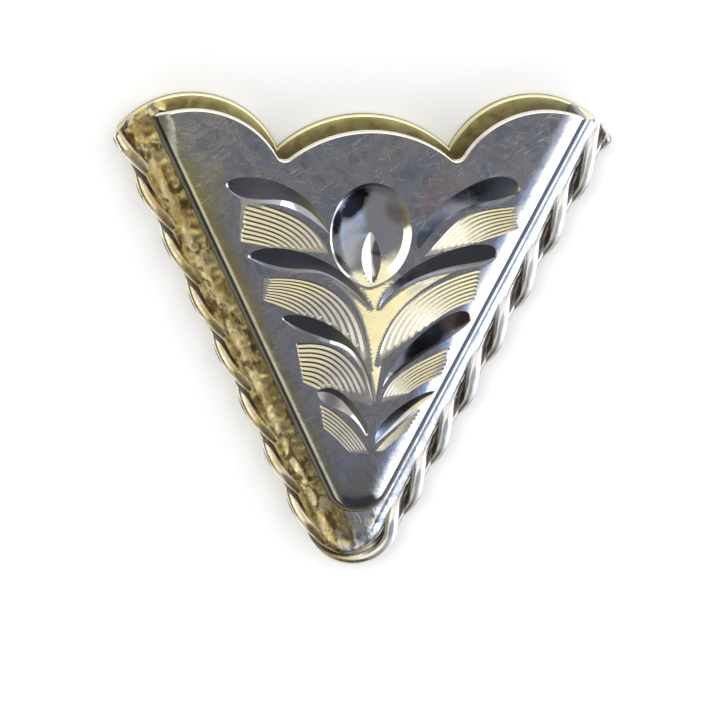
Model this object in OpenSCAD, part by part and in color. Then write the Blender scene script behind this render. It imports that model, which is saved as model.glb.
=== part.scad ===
// Hollow engraved collar tip. Millimetres. It lies on its back: the underside of the back plate
// is z = 0, the engraved face looks along +Z, the mouth that takes the collar point is at +Y and
// the tip points along -Y. The origin is under the middle of the outline.

/* [Outline] */
// Height from the lowest point of the rope to the top of the side scallops
overall_h = 39.3; // [38.8:0.1:39.8]
// Angle between either side and the centre line, in degrees
side_angle = 24.4; // [24.0:0.1:24.8]
// Outer radius of the rope where it turns round the tip
rope_tip_r = 4.3; // [4.1:0.1:4.5]

/* [Scallops] */
// Radius of the two side scallops
side_lobe_r = 7.1; // [7.0:0.1:7.3]
// Distance of the side scallops' centres from the centre line
side_lobe_x = 13.2; // [13.0:0.1:13.4]
// Radius of the middle scallop
mid_lobe_r = 9.7; // [9.4:0.1:10.0]
// How far the top of the middle scallop lies below the side ones
mid_lobe_drop = 1.6; // [1.3:0.1:1.9]

/* [Sheet] */
// Thickness of the flat back plate
plate_t = 0.8; // [0.7:0.1:1.0]
// Thickness of the engraved face and its side walls
sheet_t = 0.7; // [0.6:0.1:0.8]
// Clear height of the pocket between the plate and the face
pocket_h = 4.2; // [4.2:0.1:4.6]
// Distance of the side walls from the outside of the rope
wall_inset = 3.42; // [3.4:0.02:3.6]
// Radius of the fold between the face and the side walls
fold_r = 1.1; // [0.9:0.1:1.2]
// Radius of the tip at the top of the walls
face_tip_r = 2.7; // [2.5:0.1:2.9]
// Radius of the tip at the foot of the walls
foot_tip_r = 1.6; // [1.5:0.1:1.8]
// How far the plate's edge stays inside the outside of the rope
plate_inset = 0.45; // [0.3:0.05:0.6]

/* [Rope] */
// Outer diameter of the twisted wire
rope_d = 2.2; // [2.1:0.05:2.25]
// Length of one full turn of the twist
rope_pitch = 9.8; // [9:0.1:11]
// Length of wire at each side of the tip over which the twist stands still
tip_slack = 1.78; // [1.2:0.1:2.2]
// Height of the wire's worn top above its middle
rope_flat = 1.05; // [0.9:0.05:1.1]

/* [Seams] */
// Gap that stands for a soldered seam
seam = 0.04; // [0.03:0.01:0.06]

/* [Hidden] */

a = side_angle;
// where the rope's two outer sides would meet, on the centre line
rope_apex = -rope_tip_r * (1 / sin(a) - 1);
// where the two side walls would meet
wall_apex = rope_apex + wall_inset / sin(a);
// centre of the turn round the tip
tip_y = rope_apex + rope_tip_r / sin(a);
// radius of the rope's own centre line at the tip
core_r = rope_tip_r - rope_d / 2;
side_lobe_y = overall_h - side_lobe_r;
mid_lobe_y = overall_h - mid_lobe_drop - mid_lobe_r;
face_z = plate_t + pocket_h + sheet_t;
foot_z = plate_t + seam;
rope_z = plate_t + seam + rope_d / 2;
// the outlines run on past the mouth to this height, and the scallops cut them off
far_y = overall_h + 4;
TIP_STEPS = 14;

module put() { translate([0, -overall_h / 2, 0]) children(); }

// ---------- outlines ----------
// Closed V outline, d outside the line of the walls, its tip rounded to radius r
function vee_apex(d) = wall_apex - d / sin(a);
function vee(d, r) = let (p = vee_apex(d), c = p + r / sin(a), half = 90 - a, w = (far_y - p) * tan(a))
    concat([[-w, far_y]],
           [for (i = [0 : TIP_STEPS]) let (t = -half + 2 * half * i / TIP_STEPS) [r * sin(t), c - r * cos(t)]],
           [[w, far_y]]);

// The same outline from a circle and a polygon, with a true arc at its tip
module vee_exact(d, r) {
    p = vee_apex(d);
    c = p + r / sin(a);
    w = (far_y - p) * tan(a);
    translate([0, c]) circle(r = r, $fn = 96);
    polygon([[-r * cos(a), c - r * sin(a)], [r * cos(a), c - r * sin(a)], [w, far_y], [-w, far_y]]);
}

// Everything below the three scallops of the mouth
module scallops() {
    for (s = [-1, 1]) translate([s * side_lobe_x, side_lobe_y]) circle(r = side_lobe_r, $fn = 128);
    translate([0, mid_lobe_y]) circle(r = mid_lobe_r, $fn = 128);
    translate([-side_lobe_x - side_lobe_r, -12]) square([2 * (side_lobe_x + side_lobe_r), side_lobe_y + 12]);
}

// ---------- shell ----------
// A solid through level outlines. Each row: [height, distance outside the wall line, tip radius]
module loft(rows) {
    rings = [for (q = rows) [for (v = vee(q[1], q[2])) [v[0], v[1], q[0]]]];
    n = len(rings[0]);
    m = len(rings);
    polyhedron(
        points = [for (ring = rings) each ring],
        faces = concat(
            [[for (i = [0 : n - 1]) i]],
            [[for (i = [n - 1 : -1 : 0]) (m - 1) * n + i]],
            [for (k = [0 : m - 2], i = [0 : n - 1]) let (j = (i + 1) % n)
                [k * n + i, (k + 1) * n + i, (k + 1) * n + j, k * n + j]]),
        convexity = 4);
}

wall_draft = 0.15;
// Outside of the face and walls, from the foot up and over the fold
fold_steps = 5;
OUTER = concat(
    [[foot_z, wall_draft, foot_tip_r]],
    [for (i = [0 : fold_steps]) let (t = 90 * i / fold_steps, in = fold_r * (1 - cos(t)))
        [face_z - fold_r * (1 - sin(t)) , -in, face_tip_r - in]]);
// Inside of the same sheet
in_r = max(0.3, fold_r - sheet_t);
INNER = concat(
    [[foot_z - 1, wall_draft - sheet_t, foot_tip_r - sheet_t]],
    [for (i = [0 : 3]) let (t = 30 * i, in = in_r * (1 - cos(t)))
        [face_z - sheet_t - in_r * (1 - sin(t)), -sheet_t - in, face_tip_r - sheet_t - in]]);
// Solder that fills the corner between the walls and the rope; it turns round the tip on the rope's own centre
rope_line = wall_inset - rope_d / 2;
solder_tip = (tip_y - wall_apex) * sin(a);
SOLDER = [for (q = [
    // height above the plate, part of the way from the wall to the middle of the rope
    [0.00, 0.755],
    [0.51, 0.515],
    [1.06, 0.470],
    [1.78, 0.540],
    [2.08, 0.030]])
    [foot_z + q[0], q[1] * rope_line, solder_tip + q[1] * rope_line]];

module front_shell() {
    color("lightsteelblue") put()
    intersection() {
        difference() {
            union() { loft(OUTER); loft(SOLDER); }
            loft(INNER);
        }
        linear_extrude(height = face_z + 2) scallops();
    }
}

// ---------- back plate ----------
module back_plate() {
    color("darkkhaki") put()
    linear_extrude(height = plate_t) intersection() {
        scallops();
        vee_exact(wall_inset - plate_inset, rope_tip_r - plate_inset);
    }
}

// ---------- rope ----------
// The rope's centre line: s is the distance along it from the tip, negative on the left side
turn_len = core_r * (90 - a) * PI / 180;
function side(s) = s < 0 ? -1 : 1;
function along(s) = abs(s) <= turn_len
    ? let (t = s / core_r * 180 / PI) [cos(t), sin(t)]
    : [sin(a), side(s) * cos(a)];
function outward(s) = let (d = along(s)) [d[1], -d[0]];
function on_line(s) = abs(s) <= turn_len
    ? let (t = s / core_r * 180 / PI) [core_r * sin(t), tip_y - core_r * cos(t)]
    : let (u = abs(s) - turn_len)
      [side(s) * (core_r * cos(a) + u * sin(a)), tip_y - core_r * sin(a) + u * cos(a)];
// where the centre line meets the side scallop, and the slope of the cut there
cut_from = [core_r * cos(a) - side_lobe_x, tip_y - core_r * sin(a) - side_lobe_y];
cut_dir = [sin(a), cos(a)];
cut_b = cut_from * cut_dir;
cut_u = -cut_b + sqrt(cut_b * cut_b - cut_from * cut_from + side_lobe_r * side_lobe_r);
rope_end = turn_len + cut_u;
cut_at = cut_from + cut_u * cut_dir;
cut_slope = -(cut_at * [cos(a), -sin(a)]) / (cut_at * cut_dir);
CUT_BLEND = 7;
function cut_share(s) = max(0, 1 - (rope_end - abs(s)) / CUT_BLEND);
// angle of the two strands about the centre line, and the outline of their section there
function twist(s) = 360 / rope_pitch * (s - side(s) * tip_slack * min(1, abs(s) / turn_len));
strand_r = rope_d * 0.2614;
strand_off = rope_d / 2 - strand_r;
function lobes(t) = strand_off * abs(cos(t)) + sqrt(strand_r * strand_r - pow(strand_off * sin(t), 2));
SECTION = 16;
function ring(s) = let (c = on_line(s), o = outward(s), d = along(s) * side(s), w = twist(s), k = cut_share(s))
    [for (i = [0 : SECTION - 1]) let (t = 360 * i / SECTION, q = lobes(t),
        n = q * cos(t + w), z = q * sin(t + w), f = n * cut_slope * k)
        [c[0] + o[0] * n + d[0] * f * (abs(s) > turn_len ? 1 : 0),
         c[1] + o[1] * n + d[1] * f * (abs(s) > turn_len ? 1 : 0),
         rope_z + min(z, rope_flat)]];
RINGS = 148;

module rope_edge() {
    rings = [for (k = [0 : RINGS]) ring(rope_end * (2 * k / RINGS - 1))];
    n = SECTION;
    color("silver") put()
    polyhedron(
        points = [for (r = rings) each r],
        faces = concat(
            [[for (i = [n - 1 : -1 : 0]) i]],
            [[for (i = [0 : n - 1]) RINGS * n + i]],
            [for (k = [0 : RINGS - 1], i = [0 : n - 1]) let (j = (i + 1) % n, p = k * n, q = p + n)
                each [[p + i, p + j, q + j], [p + i, q + j, q + i]]]),
        convexity = 8);
}

back_plate();
front_shell();
rope_edge();
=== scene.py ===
import math

import bmesh
import bpy
import numpy as np
from mathutils import Matrix, Vector, noise
from mathutils.geometry import delaunay_2d_cdt
from mathutils.kdtree import KDTree


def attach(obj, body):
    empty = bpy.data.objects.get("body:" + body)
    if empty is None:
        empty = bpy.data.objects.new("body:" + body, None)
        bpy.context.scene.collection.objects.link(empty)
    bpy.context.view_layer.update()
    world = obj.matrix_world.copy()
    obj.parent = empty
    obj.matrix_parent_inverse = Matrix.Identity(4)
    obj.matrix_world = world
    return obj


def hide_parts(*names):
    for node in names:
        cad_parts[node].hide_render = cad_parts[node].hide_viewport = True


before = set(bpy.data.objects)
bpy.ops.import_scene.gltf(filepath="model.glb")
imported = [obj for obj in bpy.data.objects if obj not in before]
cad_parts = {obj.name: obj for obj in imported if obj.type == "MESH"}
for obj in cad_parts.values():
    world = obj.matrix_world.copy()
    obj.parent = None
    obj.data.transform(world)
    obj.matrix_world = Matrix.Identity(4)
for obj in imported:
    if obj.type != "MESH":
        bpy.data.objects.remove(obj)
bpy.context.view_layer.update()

# All lengths below are millimetres in a plan whose y = 0 is the lowest point of the rope.
# The frame has its origin under the middle of the outline, so HALF is taken off y when a mesh is made.
MM = 0.001
HEIGHT = 39.3
HALF = HEIGHT / 2

# ------------------------------------------------------------------ sizes
ANGLE = math.radians(24.4)
SA, CA = math.sin(ANGLE), math.cos(ANGLE)
SIDE_R, SIDE_X = 7.1, 13.2
SIDE_Y = HEIGHT - SIDE_R
MID_R = 9.7
MID_Y = HEIGHT - 1.6 - MID_R
PLATE_T, SHEET_T, SEAM = 0.8, 0.7, 0.04
FACE_Z = 5.7
FOOT_Z = PLATE_T + SEAM
WALL_INSET, WALL_DRAFT = 3.42, 0.15
ROPE_TIP_R, ROPE_D = 4.3, 2.2
ROPE_Z = FOOT_Z + ROPE_D / 2
ROPE_APEX = -ROPE_TIP_R * (1 / SA - 1)
WALL_APEX = ROPE_APEX + WALL_INSET / SA
TIP_Y = ROPE_APEX + ROPE_TIP_R / SA
CORE_R = ROPE_TIP_R - ROPE_D / 2
FACE_TIP_R, FOOT_TIP_R = 2.7, 1.6

# the sheet is folded over at its sides, and its face falls away a little before the fold
FOLD_R = 1.1
CROWN_TILT = math.radians(14)
CROWN_W = 1.5
CROWN_R = CROWN_W / math.sin(CROWN_TILT)
FOLD_Z = FACE_Z - CROWN_R * (1 - math.cos(CROWN_TILT)) - FOLD_R * math.cos(CROWN_TILT)
CROWN_D = FOLD_R * (1 - math.sin(CROWN_TILT)) + CROWN_W
EDGE, NOTCH_R = 0.09, 0.65

# ------------------------------------------------------------------ tables of the engraving
# Each leaf is one cut between two cubic curves that share their ends: the broad outer end and the thin inner one.
# "ridge" is where across the leaf its deepest line lies and "slope" its fall in degrees, each at the outer and at the inner end.
# "lip" is the share of its length from which the steep side below that line is polished bright; short of it that side
# has a darker grey, a painted shade.
LEAF_COLUMNS = ("name", "ox", "oy", "u1x", "u1y", "u2x", "u2y", "l1x", "l1y", "l2x", "l2y", "ix", "iy", "ridge_o", "ridge_i", "slope_o", "slope_i", "lip")
LEAVES = [
    ("L1", -10.87, 33.55, -10.8, 34.77, -4.76, 34.8, -8.89, 30.78, -7.38, 33.93, -2.95, 29.7, 0.94, 0.55, 10, 14, 0.52),
    ("L2", -9.15, 27.95, -8.53, 29.51, -2.03, 28.73, -4.28, 24.78, -4.97, 29.12, 0.35, 23.8, 0.95, 0.90, 12, 12, 1.1),
    ("L3", -6.4, 22.9, -6.97, 23.85, 0.44, 23.54, -2.78, 19.38, -1.08, 22.9, 0.8, 15.9, 0.95, 0.45, 13, 13, 0.40),
    ("L4", -3.6, 16.8, -1.77, 18.75, 1.4, 12.89, -3.04, 15.1, -1.19, 16.03, 0.35, 13.1, 0.35, 0.70, 12, 12, 0.0),
    ("R1", 11.5, 33.2, 10.46, 36.73, 2.2, 30.64, 9.91, 30.78, 7.04, 33.43, 3.9, 28.5, 0.95, 0.90, 11, 7, 1.1),
    ("R2", 10.0, 28.1, 9.87, 30.39, 1.46, 27.35, 9.9, 26.1, 4.4, 28.0, 1.0, 23.8, 0.94, 0.88, 12, 10, 1.1),
    ("R3", 8.2, 22.8, 7.99, 25.37, 1.62, 20.06, 8.91, 22.13, 1.14, 18.51, 1.45, 16.6, 0.95, 0.90, 7, 14, 1.1),
    ("R4", 5.8, 16.5, 5.85, 17.72, 0.54, 14.54, 4.46, 15.76, 2.13, 13.19, 1.15, 12.4, 0.62, 0.80, 10, 6, 0.0),
]
# How far across a fine cut its bottom lies.
VALLEY = 0.45
# Each group of fine cuts fills the space between a first and a last cubic curve.
HATCH_COLUMNS = ("name", "cuts", "a0x", "a0y", "a1x", "a1y", "a2x", "a2y", "a3x", "a3y", "b0x", "b0y", "b1x", "b1y", "b2x", "b2y", "b3x", "b3y", "slope")
HATCHES = [
    ("G1", 9, -9.7, 32.65, -6.73, 31.65, -4.26, 31.28, -3.0, 28.2, -9.8, 29.2, -8.8, 29.05, -7.8, 28.85, -6.9, 28.55, 11),
    ("G2", 9, -7.9, 26.25, -5.13, 26.47, 0.01, 26.28, 0.5, 18.3, -7.95, 24.5, -6.9, 24.15, -5.9, 23.7, -4.9, 23.2, 11),
    ("G3", 9, -5.35, 21.0, -5.28, 20.61, -0.95, 22.57, 0.9, 15.6, -4.7, 17.7, -4.3, 17.5, -3.9, 17.3, -3.5, 17.1, 11),
    ("G4", 6, -3.45, 15.9, -2.29, 15.58, -0.19, 13.51, 0.75, 11.5, -3.0, 13.8, -2.2, 13.2, -1.5, 12.4, -0.9, 11.7, 11),
    ("H1", 8, 11.7, 32.0, 6.76, 31.6, 7.1, 31.21, 4.3, 27.9, 11.7, 30.1, 10.6, 29.75, 9.4, 29.4, 8.3, 29.0, 11),
    ("H2", 8, 9.6, 27.15, 3.39, 25.87, 1.5, 22.55, 1.05, 19.2, 8.5, 24.3, 7.5, 24.05, 6.4, 23.6, 5.4, 22.7, 11),
    ("H3", 7, 7.1, 20.75, 3.92, 19.16, 2.15, 18.51, 1.45, 15.9, 6.5, 18.2, 5.5, 17.95, 4.4, 17.4, 3.5, 16.6, 11),
    ("H4", 6, 4.8, 15.35, 3.61, 15.05, 1.27, 12.04, 1.15, 11.7, 3.7, 13.4, 3.0, 12.9, 2.3, 12.3, 1.7, 11.7, 11),
]
# The satin field of the stem lies between these two curves.
STEM = {
    "left": ((-3.0, 26.0), (0.4, 24.4), (0.35, 19.5), (0.85, 15.9)),
    "right": ((7.6, 27.0), (1.9, 25.0), (1.5, 21.0), (1.0, 15.9)),
}
# The pitch and the slope in degrees of the fine strokes across the stem.
STEM_PITCH, STEM_SLOPE = 0.19, 9.5
# The oval bud is a shallow bowl, "deep" in its middle. "bevel" and "shoulder" are the first two falls inside its rim.
OVAL = {"x": 0.18, "y": 29.72, "rx": 3.12, "ry": 4.05, "point": 0.16, "deep": 0.34}
OVAL_COLUMNS = ("angle", "bevel", "shoulder", "power")
OVAL_SIDES = [
    (0, 0.04, 0.19, 3.0),
    (45, 0.03, 0.10, 2.2),
    (90, 0.05, 0.12, 1.9),
    (125, 0.08, 0.09, 1.6),
    (155, 0.09, 0.04, 1.25),
    (180, 0.09, 0.00, 1.15),
    (225, 0.08, 0.05, 1.4),
    (270, 0.03, 0.12, 1.9),
    (315, 0.04, 0.20, 2.6),
    (360, 0.04, 0.19, 3.0),
]
# The gouge inside it, a deep groove between two points.
GOUGE = {"top": (0.16, 29.85), "bottom": (0.42, 25.75), "half": 0.74, "depth": 0.36}


# ------------------------------------------------------------------ plan curves
def bez(p0, p1, p2, p3, t):
    t = np.asarray(t, float)[:, None]
    p0, p1, p2, p3 = (np.asarray(p, float) for p in (p0, p1, p2, p3))
    return (1 - t) ** 3 * p0 + 3 * (1 - t) ** 2 * t * p1 + 3 * (1 - t) * t ** 2 * p2 + t ** 3 * p3


def along(p0, p1, p2, p3, shares):
    """Points of a cubic curve at the given shares of its length."""
    line = bez(p0, p1, p2, p3, np.linspace(0, 1, 240))
    far = np.r_[0, np.cumsum(np.hypot(*np.diff(line, axis=0).T))]
    return np.c_[np.interp(shares, far / far[-1], line[:, 0]), np.interp(shares, far / far[-1], line[:, 1])]


def smooth(x, lo, hi):
    t = np.clip((np.asarray(x, float) - lo) / (hi - lo), 0, 1)
    return t * t * (3 - 2 * t)


def side_end(d, c):
    """Where the right side line, d outside the wall line, meets the side scallop cut back by c."""
    p = WALL_APEX - d / SA
    f, u = np.array([-SIDE_X, p - SIDE_Y]), np.array([SA, CA])
    b = f @ u
    t = -b + math.sqrt(b * b - f @ f + (SIDE_R - c) ** 2)
    return np.array([t * SA, p + t * CA])


def vee(d, r, c, n_side=90, n_tip=26):
    """The open V outline from its left end round the tip to its right end."""
    p = WALL_APEX - d / SA
    cy = p + r / SA
    start = np.array([r * CA, cy - r * SA])
    side = start + (side_end(d, c) - start) * np.linspace(0, 1, n_side + 1)[:, None]
    t = np.linspace(-1, 1, n_tip + 1) * (math.pi / 2 - ANGLE)
    arc = np.c_[r * np.sin(t), cy - r * np.cos(t)]
    return np.vstack([side[::-1][:-1] * [-1, 1], arc, side[1:]])


def cusp(c):
    """Where the right side scallop meets the middle one, both cut back by c."""
    p1, p2 = np.array([SIDE_X, SIDE_Y]), np.array([0.0, MID_Y])
    r1, r2 = SIDE_R - c, MID_R - c
    d = p2 - p1
    gap = math.hypot(*d)
    a = (gap * gap + r1 * r1 - r2 * r2) / (2 * gap)
    h = math.sqrt(r1 * r1 - a * a)
    e = d / gap
    both = [p1 + a * e + s * h * np.array([-e[1], e[0]]) for s in (-1, 1)]
    return max(both, key=lambda q: q[1])


def arc_between(centre, r, p, q, n):
    a0 = math.atan2(p[1] - centre[1], p[0] - centre[0])
    a1 = math.atan2(q[1] - centre[1], q[0] - centre[0])
    t = np.linspace(a0, a1, n + 1)
    return np.c_[centre[0] + r * np.cos(t), centre[1] + r * np.sin(t)]


def mouth(d, c, n_side=44, n_mid=60, notch=None):
    """The three scallops, cut back by c, from the left end of outline d to its right end. "notch" rounds the two notches."""
    e = side_end(d, c)
    side, mid = np.array([SIDE_X, SIDE_Y]), np.array([0.0, MID_Y])
    if notch is None:
        to_side = to_mid = cusp(c)
        bottom = np.empty((0, 2))
    else:
        r = notch + c
        hub = cusp(-notch)
        to_side = side + (hub - side) * (SIDE_R - c) / (SIDE_R + notch)
        to_mid = mid + (hub - mid) * (MID_R - c) / (MID_R + notch)
        a0, a1 = (math.atan2(q[1] - hub[1], q[0] - hub[0]) for q in (to_mid, to_side))
        a0 -= 2 * math.pi * (a0 > 0)
        a1 -= 2 * math.pi * (a1 > 0)
        t = np.linspace(a0, a1, 13)[1:-1]
        bottom = np.c_[hub[0] + r * np.cos(t), hub[1] + r * np.sin(t)]
    right = arc_between(side, SIDE_R - c, to_side, e, n_side)
    middle = arc_between(mid, MID_R - c, to_mid * [-1, 1], to_mid, n_mid)
    half = np.vstack([bottom, right]) if len(bottom) else right
    return np.vstack([half[::-1] * [-1, 1], middle if len(bottom) else middle[1:-1], half])


def inside(poly, pts):
    x, y = pts[:, 0], pts[:, 1]
    hit = np.zeros(len(pts), bool)
    px, py = poly[:, 0], poly[:, 1]
    for i in range(len(poly)):
        j = i - 1
        if py[i] == py[j]:
            continue
        hit ^= ((py[i] > y) != (py[j] > y)) & (x < (px[j] - px[i]) * (y - py[i]) / (py[j] - py[i]) + px[i])
    return hit


def inner_distance(pts):
    """Distance inside the outline of the walls, whose tip is rounded."""
    cy = WALL_APEX + FACE_TIP_R / SA
    x, y = np.abs(pts[:, 0]), pts[:, 1] - cy
    by_side = (pts[:, 1] - WALL_APEX) * SA - x * CA
    by_tip = FACE_TIP_R - np.hypot(x, y)
    at_tip = np.arctan2(x, -y) < (math.pi / 2 - ANGLE)
    return np.where(at_tip & (y < 0), by_tip, by_side)


def mouth_distance(pts):
    """Distance inside the scallops."""
    far = [SIDE_R - np.hypot(np.abs(pts[:, 0]) - SIDE_X, pts[:, 1] - SIDE_Y), MID_R - np.hypot(pts[:, 0], pts[:, 1] - MID_Y), SIDE_Y - pts[:, 1]]
    return np.max(far, axis=0)


def crown(pts):
    t = np.clip(CROWN_D - inner_distance(pts), 0, CROWN_D)
    return CROWN_R - np.sqrt(CROWN_R ** 2 - t ** 2)


def wobble(pts, size, seed, octaves=2):
    """Smooth noise of about -1..1 over the plan, with features of the given size."""
    out = np.empty(len(pts))
    for i, (x, y) in enumerate(pts):
        v, amp, f = 0.0, 1.0, 1.0 / size
        for _ in range(octaves):
            v += amp * noise.noise((x * f, y * f, seed))
            amp *= 0.45
            f *= 2.1
        out[i] = v
    return out


# ------------------------------------------------------------------ mesh maker
class Sheets:
    """Collects grids and triangles in plan millimetres and makes one welded mesh of them."""

    def __init__(self):
        self.v, self.f, self.m = [], [], []
        self.n = 0

    def grid(self, p, mat, wrap=False):
        p = np.asarray(p, float)
        rows, cols = p.shape[:2]
        at = self.n
        self.v.append(p.reshape(-1, 3))
        self.n += rows * cols
        for k in range(rows - 1):
            for i in range(cols if wrap else cols - 1):
                j = (i + 1) % cols
                self.f.append((at + k * cols + i, at + (k + 1) * cols + i, at + (k + 1) * cols + j, at + k * cols + j))
                self.m.append(mat)

    def faces(self, p, faces, mats):
        at = self.n
        self.v.append(np.asarray(p, float))
        self.n += len(p)
        for f, m in zip(faces, mats):
            self.f.append(tuple(at + i for i in f))
            self.m.append(m)

    def make(self, name, materials, weld=0.0005, sharp=7.0, attributes=None):
        v = np.vstack(self.v)
        v = (v - [0, HALF, 0]) * MM
        me = bpy.data.meshes.new(name)
        me.from_pydata([tuple(q) for q in v], [], self.f)
        for m in materials:
            me.materials.append(m)
        me.polygons.foreach_set("material_index", self.m)
        if attributes:
            for key, values in attributes.items():
                me.attributes.new(key, "FLOAT", "POINT").data.foreach_set("value", np.asarray(values, np.float32))
        bm = bmesh.new()
        bm.from_mesh(me)
        bmesh.ops.remove_doubles(bm, verts=bm.verts, dist=weld * MM)
        bmesh.ops.dissolve_degenerate(bm, dist=weld * MM * 0.2, edges=bm.edges)
        bmesh.ops.recalc_face_normals(bm, faces=bm.faces)
        open_edges = sum(1 for e in bm.edges if len(e.link_faces) != 2)
        bm.to_mesh(me)
        bm.free()
        me.shade_smooth()
        me.set_sharp_from_angle(angle=math.radians(sharp))
        me.update()
        print(f"{name}: {len(me.polygons)} faces, {open_edges} edges not shared by two faces")
        ob = bpy.data.objects.new(name, me)
        bpy.context.scene.collection.objects.link(ob)
        return ob


def triangulate(points, edges, boundary, rim=None):
    """Triangles between the given points inside the boundary, with the edges kept. Returns points, triangles and each point's source, or -1."""
    got = delaunay_2d_cdt([Vector((float(x), float(y))) for x, y in points], edges, [], 0, 1e-5)
    out = np.array([(v[0], v[1]) for v in got[0]])
    source = np.array([s[0] if s else -1 for s in got[3]])
    tris = np.array([t for t in got[2] if len(t) == 3])
    centre = out[tris].mean(1)
    a, b, c = out[tris[:, 0]], out[tris[:, 1]], out[tris[:, 2]]
    area = np.abs((b[:, 0] - a[:, 0]) * (c[:, 1] - a[:, 1]) - (b[:, 1] - a[:, 1]) * (c[:, 0] - a[:, 0]))
    rim = len(boundary) if rim is None else rim
    on_rim = np.all((source[tris] >= 0) & (source[tris] < rim), axis=1)
    return out, tris[inside(boundary, centre) & (area > np.where(on_rim, 6e-5, 1e-10))], source


# ------------------------------------------------------------------ relief of the face
def leaf_patch(row):
    q = dict(zip(LEAF_COLUMNS, row))
    t = (1 - np.cos(np.linspace(0, math.pi, 61))) / 2
    o, i = (q["ox"], q["oy"]), (q["ix"], q["iy"])
    up = along(o, (q["u1x"], q["u1y"]), (q["u2x"], q["u2y"]), i, t)
    lo = along(o, (q["l1x"], q["l1y"]), (q["l2x"], q["l2y"]), i, t)
    width = np.hypot(*(up - lo).T)
    ridge = q["ridge_o"] + (q["ridge_i"] - q["ridge_o"]) * smooth(t, 0.25, 0.8)
    slope = q["slope_o"] + (q["slope_i"] - q["slope_o"]) * smooth(t, 0.3, 0.8)
    depth = np.minimum(width * np.minimum(ridge, 0.9) * np.tan(np.radians(slope)), 0.42)
    shares = [0, 0.2, 0.42, 0.68, 1.0]
    grid, z = [], []
    for w in shares:
        v = ridge * w
        grid.append(up + (lo - up) * v[:, None])
        z.append(-depth * (w * 0.86 + 0.14 * math.sin(w * math.pi / 2)))
    for w in (0.5, 1.0):
        v = ridge + (1 - ridge) * w
        grid.append(up + (lo - up) * v[:, None])
        z.append(-depth * (1 - w) * (1.06 if w < 1 else 1))
    # short of the lip the steep side gets a darker grey, a painted shade
    deepest, dull = grid[len(shares) - 1], t <= q["lip"]
    lip = np.vstack([deepest[dull], lo[dull][::-1]]) if dull.sum() > 1 else None
    return {"name": q["name"], "kind": "leaf", "xy": np.array(grid), "z": np.array(z), "outline": np.vstack([up, lo[::-1][1:-1]]), "lip": lip}


def hatch_patch(row):
    q = dict(zip(HATCH_COLUMNS, row))
    t = np.linspace(0, 1, 52)
    n = q["cuts"]
    first = [np.array([q[f"a{k}x"], q[f"a{k}y"]]) for k in range(4)]
    last = [np.array([q[f"b{k}x"], q[f"b{k}y"]]) for k in range(4)]
    jitter = [0.0] + [0.10 * noise.noise((k * 1.7, ord(q["name"][0]) * 0.37, int(q["name"][1]) * 2.3)) for k in range(1, n)] + [0.0]

    def curve(s):
        return bez(*[first[k] + (last[k] - first[k]) * s for k in range(4)], t)

    grid, z = [], []
    for j in range(n):
        a, b = curve((j + jitter[j]) / n), curve((j + 1 + jitter[j + 1]) / n)
        run = np.gradient(a, axis=0)
        run /= np.hypot(*run.T)[:, None]
        gap = np.abs((b - a)[:, 0] * run[:, 1] - (b - a)[:, 1] * run[:, 0])
        late = 0.035 * (1 + noise.noise((j * 2.3, 5.1, ord(q["name"][0]) + int(q["name"][1]))))
        ends = smooth(t, late, late + 0.03) * (1 - smooth(t, 0.9, 1.0))
        h = np.minimum(gap * (1 - VALLEY) * math.tan(math.radians(q["slope"])), 0.10) * ends
        grid += [a, a + (b - a) * VALLEY]
        z += [0 * h, -h]
        if j == n - 1:
            grid.append(b)
            z.append(0 * h)
    outline = np.vstack([curve(0), curve(1)[::-1]])
    return {"name": q["name"], "kind": "hatch", "xy": np.array(grid), "z": np.array(z), "outline": outline}


def oval_point(rho, th):
    x = OVAL["x"] + OVAL["rx"] * rho * np.cos(th)
    y = OVAL["y"] + OVAL["ry"] * rho * np.sin(th) - OVAL["point"] * rho * np.where(np.sin(th) < 0, np.exp(-(np.cos(th) / 0.22) ** 2), 0)
    return np.stack([x, y], -1)


OVAL_SHARES = (1.0, 0.955, 0.915, 0.86, 0.80, 0.72, 0.62, 0.50, 0.36, 0.22, 0.08)


def rounded(table, width=17):
    """The table at each degree, averaged over a window so that no edge shows between its rows."""
    table = np.array(table)
    out = []
    for k in range(1, table.shape[1]):
        fine = np.interp(np.arange(-90, 451) % 360, table[:, 0], table[:, k])
        for _ in range(2):
            fine = np.convolve(fine, np.ones(2 * width + 1) / (2 * width + 1), "same")
        out.append(fine[90:451])
    return np.array(out).T


OVAL_ROUND = rounded(OVAL_SIDES)


def oval_fall(rho, th):
    """Depth of the bowl at share rho of its size, in direction th."""
    at = np.degrees(th) % 360
    bevel, shoulder, power = (np.interp(at, np.arange(361), OVAL_ROUND[:, k]) for k in range(3))
    rest = OVAL["deep"] - bevel - shoulder
    fall = bevel * np.clip((1 - rho) / 0.045, 0, 1) + shoulder * np.clip((0.955 - rho) / 0.155, 0, 1)
    return fall + rest * (1 - np.clip(rho / 0.8, 0, 1) ** power)


def oval_depth(pts):
    x, y = (pts[:, 0] - OVAL["x"]) / OVAL["rx"], (pts[:, 1] - OVAL["y"]) / OVAL["ry"]
    return -oval_fall(np.hypot(x, y), np.arctan2(y, x))


def oval_patch():
    th = np.linspace(0, 2 * math.pi, 97)
    grid = [oval_point(rho, th) for rho in OVAL_SHARES]
    z = [-oval_fall(np.full(len(th), rho), th) for rho in OVAL_SHARES]
    return {"name": "oval", "kind": "oval", "xy": np.array(grid), "z": np.array(z), "outline": oval_point(1.0, th[:-1])}


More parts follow.
